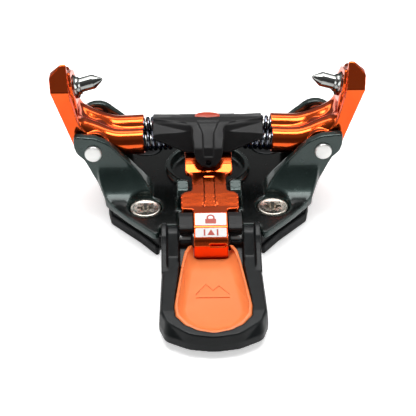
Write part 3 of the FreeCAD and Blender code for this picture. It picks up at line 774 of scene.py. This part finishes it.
def padlock():
    """A plain closed padlock."""
    facet, low, high = LABELS["lock"]
    middle = (low + high) / 2
    body = rounded([(-1.75, middle - 0.1), (1.75, middle - 0.1), (1.75, middle + 2.0), (-1.75, middle + 2.0)],
                   0.3, 3)
    top, foot = middle - 0.7, middle - 0.1
    shackle = [(-1.3, foot)] + arc(0, top, 1.3, 180, 360, 13) + [(1.3, foot), (0.75, foot)]
    shackle += arc(0, top, 0.75, 360, 180, 13) + [(-0.75, foot)]
    return [on_facet(facet, body, 0.05, 0.17), on_facet(facet, shackle, 0.05, 0.17)]


def arrow_bars():
    """Two bars beside an arrowhead: the riding position."""
    facet, low, high = LABELS["ski"]
    middle = (low + high) / 2
    top, foot = middle - 1.1, middle + 1.1
    shapes = [[(x, top), (x + 0.5, top), (x + 0.5, foot), (x, foot)] for x in (-2.3, 1.8)]
    shapes.append([(-1.2, middle + 0.9), (0, top), (1.2, middle + 0.9)])
    return [on_facet(facet, shape, 0.05, 0.17) for shape in shapes]


# the toe stop: side views of an arm at its end and where it meets the stem
ARM_END = [(-3.6, 25.9), (-4.5, 26.9, 0.4), (-4.0, 28.0, 0.4), (1.4, 29.1, 0.5), (2.9, 30.2, 0.4),
           (11.0, 27.3), (14.6, 24.8), (14.6, 23.2)]
ARM_ROOT = [(-4.9, 21.2), (-5.9, 22.2, 0.4), (-5.1, 23.7, 0.4), (-3.2, 28.6, 0.5), (-1.8, 30.4, 0.4),
            (11.0, 26.9), (14.6, 25.0), (14.6, 21.4)]
PLUG_TOP, PLUG_TILT = (0.0, 7.4, 28.4), 16.6


def spring_pocket(y):
    """Room for a spring in the toe stop's arm, open downwards and with play towards the front."""
    radius, play, low, high = SPRING_R + WIRE_R + 0.25, 1.5, -ARM_END_X - 1.0, -9.4
    centre_z = barrel_point(-9.6, y).z - 0.2
    outline = arc(y, centre_z, radius, 0, 90, 12) + arc(y - play, centre_z, radius - 0.2, 90, 180, 12)
    outline += [(outline[-1][0], 15.0), (y + radius, 15.0)]
    outline = [(max(yy, -3.2), zz) for yy, zz in outline]
    return prism_x(outline, low, high)


def toe_stop_cap():
    """The black T: two arms over the springs and a stem that comes down in front of them."""
    loops = []
    for x, outline in ((-ARM_END_X, ARM_END), (-ARM_ROOT_X, ARM_ROOT), (0.5, ARM_ROOT)):
        loops.append([(x, y, z) for y, z in rounded(outline, 0.6)])
    arms = loft(loops)
    front_view = [(-18.5, 33.0), (-18.5, 29.8), (-8.6, 29.5, 4.0), (-4.9, 28.0, 3.0), (-4.7, 24.4),
                  (-4.2, 22.6, 2.0), (-2.4, 20.4, 2.0), (0.0, 19.3), (0.5, 19.3), (0.5, 33.0)]
    plan = [(-18.5, 6.0), (-18.5, 2.6), (-7.6, -0.5, 3.0), (-5.2, -2.8, 2.0), (-5.2, -20.0), (0.5, -20.0),
            (0.5, 6.0)]
    side_view = [(4.0, 30.2), (-1.0, 30.9, 3.0), (-9.7, 25.7, 2.0), (-12.1, 20.8, 1.0), (-11.7, 19.2),
                 (0.5, 21.3), (4.0, 26.0)]
    stem = meet(prism_x(rounded(side_view, 0.4), -ARM_END_X, 0.6), prism_y(rounded(front_view, 0.0), -20, 6),
                prism_z(rounded(plan, 0.0), 15, 40))
    voids = [block(-9.4, 9.4, -1.0, 13.2, 15, 26.05)]
    room = [(-20.0, 18.2)] + [(y, z + 0.1) for y, z in LINK_TOP[1:]] + [(-1.0, 14.0), (-20.0, 12.0)]
    voids.append(prism_x(room, -7.9, 7.9))
    voids += [spring_pocket(y) for y in BARREL_YS]
    voids.append(rod(Vector(PLUG_TOP) - plug_direction() * 1.4, plug_direction(), 4.35, 6))
    voids += stem_channel()
    solids = []
    for piece in (arms, stem):
        for void in voids:
            combine(piece, void, "DIFFERENCE", keep_tool=True)
        solids += [mirrored(piece), piece]
    for void in voids:
        discard(void)
    return forge(solids, [], 0.25, 4)


def stem_channel():
    """The shallow groove down the stem, wider at the top, with a small pit at its lower end."""
    path = [(0.6, 31.0), (-1.4, 30.9), (-4.4, 29.2), (-9.3, 26.2), (-10.9, 23.6)]
    widths = [4.2, 3.4, 2.1, 1.9, 1.8]
    loops = []
    for (y, z), half in zip(path, widths):
        mouth, bed = (half + 0.5, y - 1.5, z + 2.0), (half - 0.2, y + 0.4, z - 0.688)
        corners = ((-1, mouth), (1, mouth), (1, bed), (-1, bed))
        loops.append([(side * width, *rest) for side, (width, *rest) in corners])
    groove = loft(loops)
    pit = rod((0, -13.5, 21.2), (0, 1, 0.1), 1.0, 3.0, 32)
    return [groove, pit]


def plug_direction():
    tilt = math.radians(PLUG_TILT)
    return Vector((0, math.sin(tilt), math.cos(tilt)))


def plug():
    """The round cap over the toe stop's screw, with a shallow dished face."""
    normal = plug_direction()
    return lathe(Vector(PLUG_TOP) - normal * 1.2, normal,
                 [(0, 4.25), (1.25, 4.25), (1.5, 4.15), (1.6, 3.95), (1.6, 3.5), (1.45, 3.3), (1.45, 0.5)])


# --- lever --------------------------------------------------------------------------------
LEVER_TOP_PLAN = [(-12.6, -43.6), (-15.0, -46.0), (-15.7, -56.0), (-16.2, -73.5, 3.0), (-14.3, -78.4, 3.0),
                  (-7.5, -83.9, 8.0), (0.0, -85.5, 14.0)]
LEVER_LOW_PLAN = [(-12.6, -43.6), (-15.0, -46.0), (-15.8, -56.0), (-16.4, -75.0, 3.0), (-14.6, -80.6, 4.0),
                  (-7.6, -84.6, 8.0), (0.0, -85.9, 14.0)]
LEVER_PAD_PLAN = [(-5.7, -41.6), (-7.2, -42.6, 1.5), (-8.5, -45.0, 3.0), (-9.4, -50.0, 5.0),
                  (-11.8, -71.5, 4.0), (-11.4, -76.0, 2.0), (-8.6, -79.8, 1.5), (-5.0, -82.0, 3.0),
                  (0.0, -83.4, 4.0)]


def lever_slab():
    """The frame's flat part, bevelled along its upper edge and falling towards the tip."""
    low, high = [rounded(both_sides(plan), 3.0, 8) for plan in (LEVER_LOW_PLAN, LEVER_TOP_PLAN)]
    edge = [(x * 0.962, (y + 64) * 0.98 - 64) for x, y in high]
    rings = ((low, 2.0), (low, 4.5), (high, 7.7), (edge, 8.5))
    slab = loft([[(x, y, z) for x, y in ring] for ring, z in rings])
    fall = prism_x([(-74.0, 8.5), (-87.0, 7.3), (-87.0, 12.0), (-60.0, 12.0), (-60.0, 8.5)], -20, 20)
    back = block(-10.3, 10.3, -48.6, -40, 0, 20)
    recess = prism_z(rounded(both_sides(LEVER_PAD_PLAN), 2.0, 8), 4.0, 20)
    slab = cut(slab, fall, back, recess)
    well = prism_z(rounded([(-9.9, -40.0), (-9.9, -48.0), (-10.6, -57.0), (-11.8, -70.0), (-6.0, -60.0),
                            (-6.0, -40.0)], 0.4), 5.4, 20)
    return cut(slab, mirrored(well), well)


def lever_cheek():
    """A lug about the cross axle, the knuckle in front of the hook and a fin along the outer edge."""
    lug = arc(AXLE_Y, AXLE_Z, 4.2, 120, -90, 24) + [(-46.0, 2.0), (-54.0, 2.0), (-54.0, 6.0), (-48.0, 7.4)]
    knuckle = arc(AXLE_Y, AXLE_Z, 4.0, 156, 190, 10) + [(-46.4, 7.0), (-50.0, 5.4), (-50.0, 2.0)]
    knuckle += [(-41.5, 2.0)] + arc(AXLE_Y, AXLE_Z, 2.4, 250, 150, 10)
    fin = rounded([(-50.5, 8.4, 2.0), (-44.0, 12.0, 3.0), (-40.4, 14.4, 1.2)], 0.5)
    fin += arc(AXLE_Y, AXLE_Z, 5.3, 104, 20, 14) + [(-33.5, 6.0), (-46.0, 2.0), (-54.0, 2.0), (-54.0, 8.4)]
    return [prism_x(lug, -15.2, -10.2), prism_x(knuckle, -10.4, -6.1), prism_x(fin, -15.7, -13.9)]


def lever_body():
    """The black frame, bored for the axle and its caps and cleared for the drum."""
    drum_x = -DRUM_HALF - 0.15
    voids = [rod((-20, AXLE_Y, AXLE_Z), (1, 0, 0), 2.05, 40, 48),
             rod((drum_x, AXLE_Y, AXLE_Z), (1, 0, 0), DRUM_R + 0.5, -2 * drum_x, 96)]
    voids += [rod((x, AXLE_Y, AXLE_Z), (1, 0, 0), 3.1, 1.2, 48) for x in (-15.5, 14.3)]
    solids = [lever_slab()]
    for piece in lever_cheek():
        solids += [mirrored(piece), piece]
    return forge(solids, voids, 0.3, 5)


def inset(outline, distance):
    """Moves every point of a counter-clockwise or clockwise outline inwards by a distance."""
    n = len(outline)
    corners = zip(outline, outline[1:] + outline[:1])
    sign = 1 if sum(a[0] * b[1] - b[0] * a[1] for a, b in corners) > 0 else -1
    out = []
    for i in range(n):
        ahead = Vector(outline[(i + 1) % n]) - Vector(outline[i - 1])
        normal = Vector((-ahead.y, ahead.x)).normalized() * sign
        out.append(tuple(Vector(outline[i]) + normal * distance))
    return out


DISH_TOP_PLAN = [(-5.75, -34.0), (-5.75, -42.8, 2.0), (-7.5, -46.0, 3.0), (-8.5, -50.5, 5.0),
                 (-10.8, -71.3, 5.0), (-10.4, -75.4, 3.0), (-7.8, -79.0, 3.0), (-4.6, -81.2, 5.0),
                 (0.0, -82.4, 8.0)]
DISH_LOW_PLAN = [(-4.2, -34.0), (-4.2, -46.0, 2.0), (-5.2, -50.0, 3.0), (-6.2, -54.5, 5.0),
                 (-8.2, -70.4, 5.0), (-7.8, -73.6, 3.0), (-6.0, -76.4, 3.0), (-3.6, -78.1, 5.0),
                 (0.0, -79.0, 8.0)]


def lever_dish():
    """The hollow of the pad, open towards the drum."""
    top, low = [rounded(both_sides(plan), 2.0, 8) for plan in (DISH_TOP_PLAN, DISH_LOW_PLAN)]
    depths = ((0.0, 11.0), (0.0, 8.95), (0.12, 8.4), (0.3, 7.7), (0.55, 7.0), (0.8, 6.55), (1.0, 6.4))
    rings = []
    for blend, z in depths:
        pairs = zip(top, low)
        rings.append([(a[0] + blend * (b[0] - a[0]), a[1] + blend * (b[1] - a[1]), z) for a, b in pairs])
    return loft(rings)


def lever_pad():
    """The orange thumb pad: a rim around the dish, raised beside the drum and falling to the tip."""
    edge = rounded(both_sides(LEVER_PAD_PLAN), 2.0, 10)
    steps = [(0.05, 4.0), (0.05, 8.4), (0.15, 8.8), (0.4, 9.05), (0.7, 9.12)]
    pad = loft([[(x, y, z) for x, y in inset(edge, d)] for d, z in steps])
    pad = cut(pad, lever_dish(), rod((-12, AXLE_Y, AXLE_Z), (1, 0, 0), 5.0, 24, 120),
              rod((-5.5, AXLE_Y, AXLE_Z), (1, 0, 0), DRUM_R + 0.5, 11.0, 120), *emblem())
    for vert in pad.data.vertices:
        ahead = max(0.0, -70.0 - vert.co.y) / 13.6
        behind = max(0.0, min(1.0, (vert.co.y + 50.0) / 7.0))
        vert.co.z += (1.3 * behind - 2.1 * ahead) * (vert.co.z - 4.0) / 5.1
    return pad


def emblem():
    """A plain twin-peak outline pressed into the floor of the dish."""
    stroke = 0.45
    peaks = [(-5.2, -63.6), (-2.0, -58.4), (0.2, -61.6), (2.0, -59.2), (5.2, -63.6)]
    ground = [(-5.2, -65.2), (5.2, -65.2)]
    marks = []
    for line in (peaks, ground):
        upper = [(x, y + stroke) for x, y in line]
        marks.append(prism_z(line + upper[::-1], 6.12, 9.0))
    return marks


# --- put the pieces together ---------------------------------------------------------------


def sides(name):
    return ("left_" + name, "right_" + name)


def pair(obj, names, bodies, slot, nodes, sharp=38):
    """Places a left-hand piece and its mirror image."""
    twin = mirrored(obj)
    place(obj, names[0], bodies[0], slot, [nodes[0]], sharp)
    place(twin, names[1], bodies[1], slot, [nodes[1]], sharp)
    return obj, twin


def shorten_when_closed(coils):
    """In the binding the springs are pressed into their barrels as the wings turn inwards; here each coil
    only gets its own mesh.
    """
    for coil, joint, side in zip(coils, sides("wing_hinge"), (1, -1)):
        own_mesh(coil)


def build_object():
    wings = ("left_wing", "right_wing")
    base = ("base", "base")
    place(base_pad(), "base_foot", "base", "base_black", ["base_pad"])
    place(chassis(), "chassis_casting", "base", "deck_green", ["chassis"], 0)
    place(join([mounting_screw(x, y) for x, y in SCREWS]), "cross_head_screws", "base", "screw_steel",
          ["mounting_screws"])
    paint_shade_on_rear_screws()
    pair(axle_head(), sides("axle_rivet"), base, "axle_steel", sides("wing_axle"))
    pair(axle_block(), sides("side_block"), base, "stop_black", sides("axle_block"))
    pair(wing(), sides("wing_arm"), wings, "anodised_orange", sides("wing"), 0)
    pair(toe_pin(), sides("pin"), wings, "pin_steel", sides("toe_pin"))
    for y, end in zip(BARREL_YS, ("front", "rear")):
        coils = pair(coil_spring(y), sides(end + "_coil"), wings, "spring_steel", sides(end + "_spring"), 0)
        shorten_when_closed(coils)
    place(centre_link(), "link_plate", "rocker", "anodised_orange", ["centre_link"], 0)
    for key, marks in (("lock", padlock()), ("ski", arrow_bars())):
        place(label_plate(key), key + "_inlay", "rocker", "label_white", [key + "_label"])
        print_mark = place(join(marks), key + "_pictogram", "rocker", "plug_orange")
        print_mark.data.materials[0] = MATERIALS["label_ink"]
    place(toe_stop_cap(), "toe_stop", "rocker", "stop_black", ["toe_stop_cap"], 0)
    place(plug(), "stop_plug", "rocker", "plug_orange", ["toe_stop_plug"])
    place(lever_body(), "lever_frame", "lever", "lever_black", ["lever_body"], 0)
    place(lever_pad(), "lever_dish", "lever", "pad_orange", ["lever_pad"])


def paint_shade_on_rear_screws():
    """Painted shade: the rear pair, under the toe stop's arms, gets a near-black copy of the screw steel."""
    mesh = bpy.data.objects["cross_head_screws"].data
    mesh.materials.append(MATERIALS["painted_shade_screw_steel"])
    for face in mesh.polygons:
        # faces of the rear pair take the painted shade copy
        face.material_index = 1 if face.center.y > 0 else 0


def finish_cad_nodes():
    """Gives every carried-over CAD node its own finish."""
    slots = {row["node"]: row["material_slot"] for row in frame["record"]["subparts"]}
    for name, obj in frame["nodes"].items():
        obj.data.materials.clear()
        obj.data.materials.append(MATERIALS["lever_black" if name == "lever_bushes" else slots[name]])


# --- studio -------------------------------------------------------------------------------


def soft_light(name, place_at, aim, size, power):
    data = bpy.data.lights.new(name, "AREA")
    data.shape = "RECTANGLE"
    data.size, data.size_y = size
    data.energy = power
    light = bpy.data.objects.new(name, data)
    bpy.context.scene.collection.objects.link(light)
    light.location = place_at
    light.rotation_euler = (Vector(aim) - Vector(place_at)).to_track_quat("-Z", "Y").to_euler()
    return light


def studio():
    """Pale paper floor, large soft lights and a plain grey room, brighter behind the object."""
    floor = mesh_object([(-6, -6, 0), (6, -6, 0), (6, 6, 0), (-6, 6, 0)], [(0, 1, 2, 3)], "floor")
    paper = bpy.data.materials.new("paper")
    paper.use_nodes = True
    shader = paper.node_tree.nodes["Principled BSDF"]
    shader.inputs["Base Color"].default_value = (0.93, 0.93, 0.93, 1)
    shader.inputs["Roughness"].default_value = 0.9
    shader.inputs["Emission Color"].default_value = (1, 1, 1, 1)
    path = paper.node_tree.nodes.new("ShaderNodeLightPath")
    glow = paper.node_tree.nodes.new("ShaderNodeMath")
    glow.operation = "MULTIPLY_ADD"
    glow.inputs[1].default_value = 0.42
    glow.inputs[2].default_value = 0.10
    paper.node_tree.links.new(path.outputs["Is Camera Ray"], glow.inputs[0])
    paper.node_tree.links.new(glow.outputs["Value"], shader.inputs["Emission Strength"])
    floor.data.materials.append(paper)

    soft_light("overhead", (0.0, 0.07, 0.80), (0, -0.01, 0), (0.80, 0.27), 5.0)
    soft_light("back", (0.0, 0.56, 0.83), (0, 0, 0.02), (1.2, 0.28), 3.0)
    soft_light("left", (-0.9, -0.1, 0.35), (0, 0, 0.02), (0.5, 0.35), 1.2)
    soft_light("right", (0.9, -0.1, 0.35), (0, 0, 0.02), (0.5, 0.35), 1.2)
    front_fill = soft_light("front", (0.0, -0.9, 0.75), (0, -0.02, 0), (0.5, 0.3), 0.9)
    front_fill.visible_glossy = False

    world = bpy.data.worlds.new("studio")
    world.use_nodes = True
    tree = world.node_tree
    coords = tree.nodes.new("ShaderNodeTexCoord")
    split = tree.nodes.new("ShaderNodeSeparateXYZ")
    tree.links.new(coords.outputs["Generated"], split.inputs["Vector"])
    ahead = tree.nodes.new("ShaderNodeMapRange")
    ahead.inputs["From Min"].default_value = -0.25
    ahead.inputs["From Max"].default_value = 0.35
    tree.links.new(split.outputs["Y"], ahead.inputs["Value"])
    blend = tree.nodes.new("ShaderNodeMix")
    blend.data_type = "RGBA"
    tree.links.new(ahead.outputs["Result"], blend.inputs["Factor"])
    front = [(0.0, 0.45), (0.12, 0.16), (0.6, 0.14), (0.9, 0.35)]
    behind = [(0.0, 0.30), (0.3, 0.35), (0.62, 0.85), (0.9, 1.0)]
    for stops, slot in ((front, 6), (behind, 7)):
        ramp = tree.nodes.new("ShaderNodeValToRGB")
        while len(ramp.color_ramp.elements) < len(stops):
            ramp.color_ramp.elements.new(0.5)
        for element, (position, value) in zip(ramp.color_ramp.elements, stops):
            element.position = position
            element.color = (value, value, value, 1)
        tree.links.new(split.outputs["Z"], ramp.inputs["Fac"])
        tree.links.new(ramp.outputs["Color"], blend.inputs[slot])
    tree.links.new(blend.outputs[2], tree.nodes["Background"].inputs["Color"])
    tree.nodes["Background"].inputs["Strength"].default_value = 0.5
    bpy.context.scene.world = world
    view = bpy.context.scene.view_settings
    view.view_transform = "Standard"
    view.look = "None"
    view.exposure = 0.0


IMAGE_SIDE = 416


def camera():
    elevation, turn, distance = math.radians(33.7), math.radians(-1.4), 0.48
    target = Vector((0.0, -0.019, 0.008))
    level = math.cos(elevation)
    back = Vector((math.sin(turn) * level, -math.cos(turn) * level, math.sin(elevation)))
    data = bpy.data.cameras.new("camera")
    data.lens = 125.87
    data.sensor_width = 36.0
    data.shift_x, data.shift_y = -1.2 / IMAGE_SIDE, 1.6 / IMAGE_SIDE
    made = bpy.data.objects.new("camera", data)
    bpy.context.scene.collection.objects.link(made)
    made.location = target + back * distance
    made.rotation_euler = (-back).to_track_quat("-Z", "Y").to_euler()
    bpy.context.scene.camera = made


def main():
    build_object()
    finish_cad_nodes()
    studio()
    camera()
    bpy.context.view_layer.update()


main()
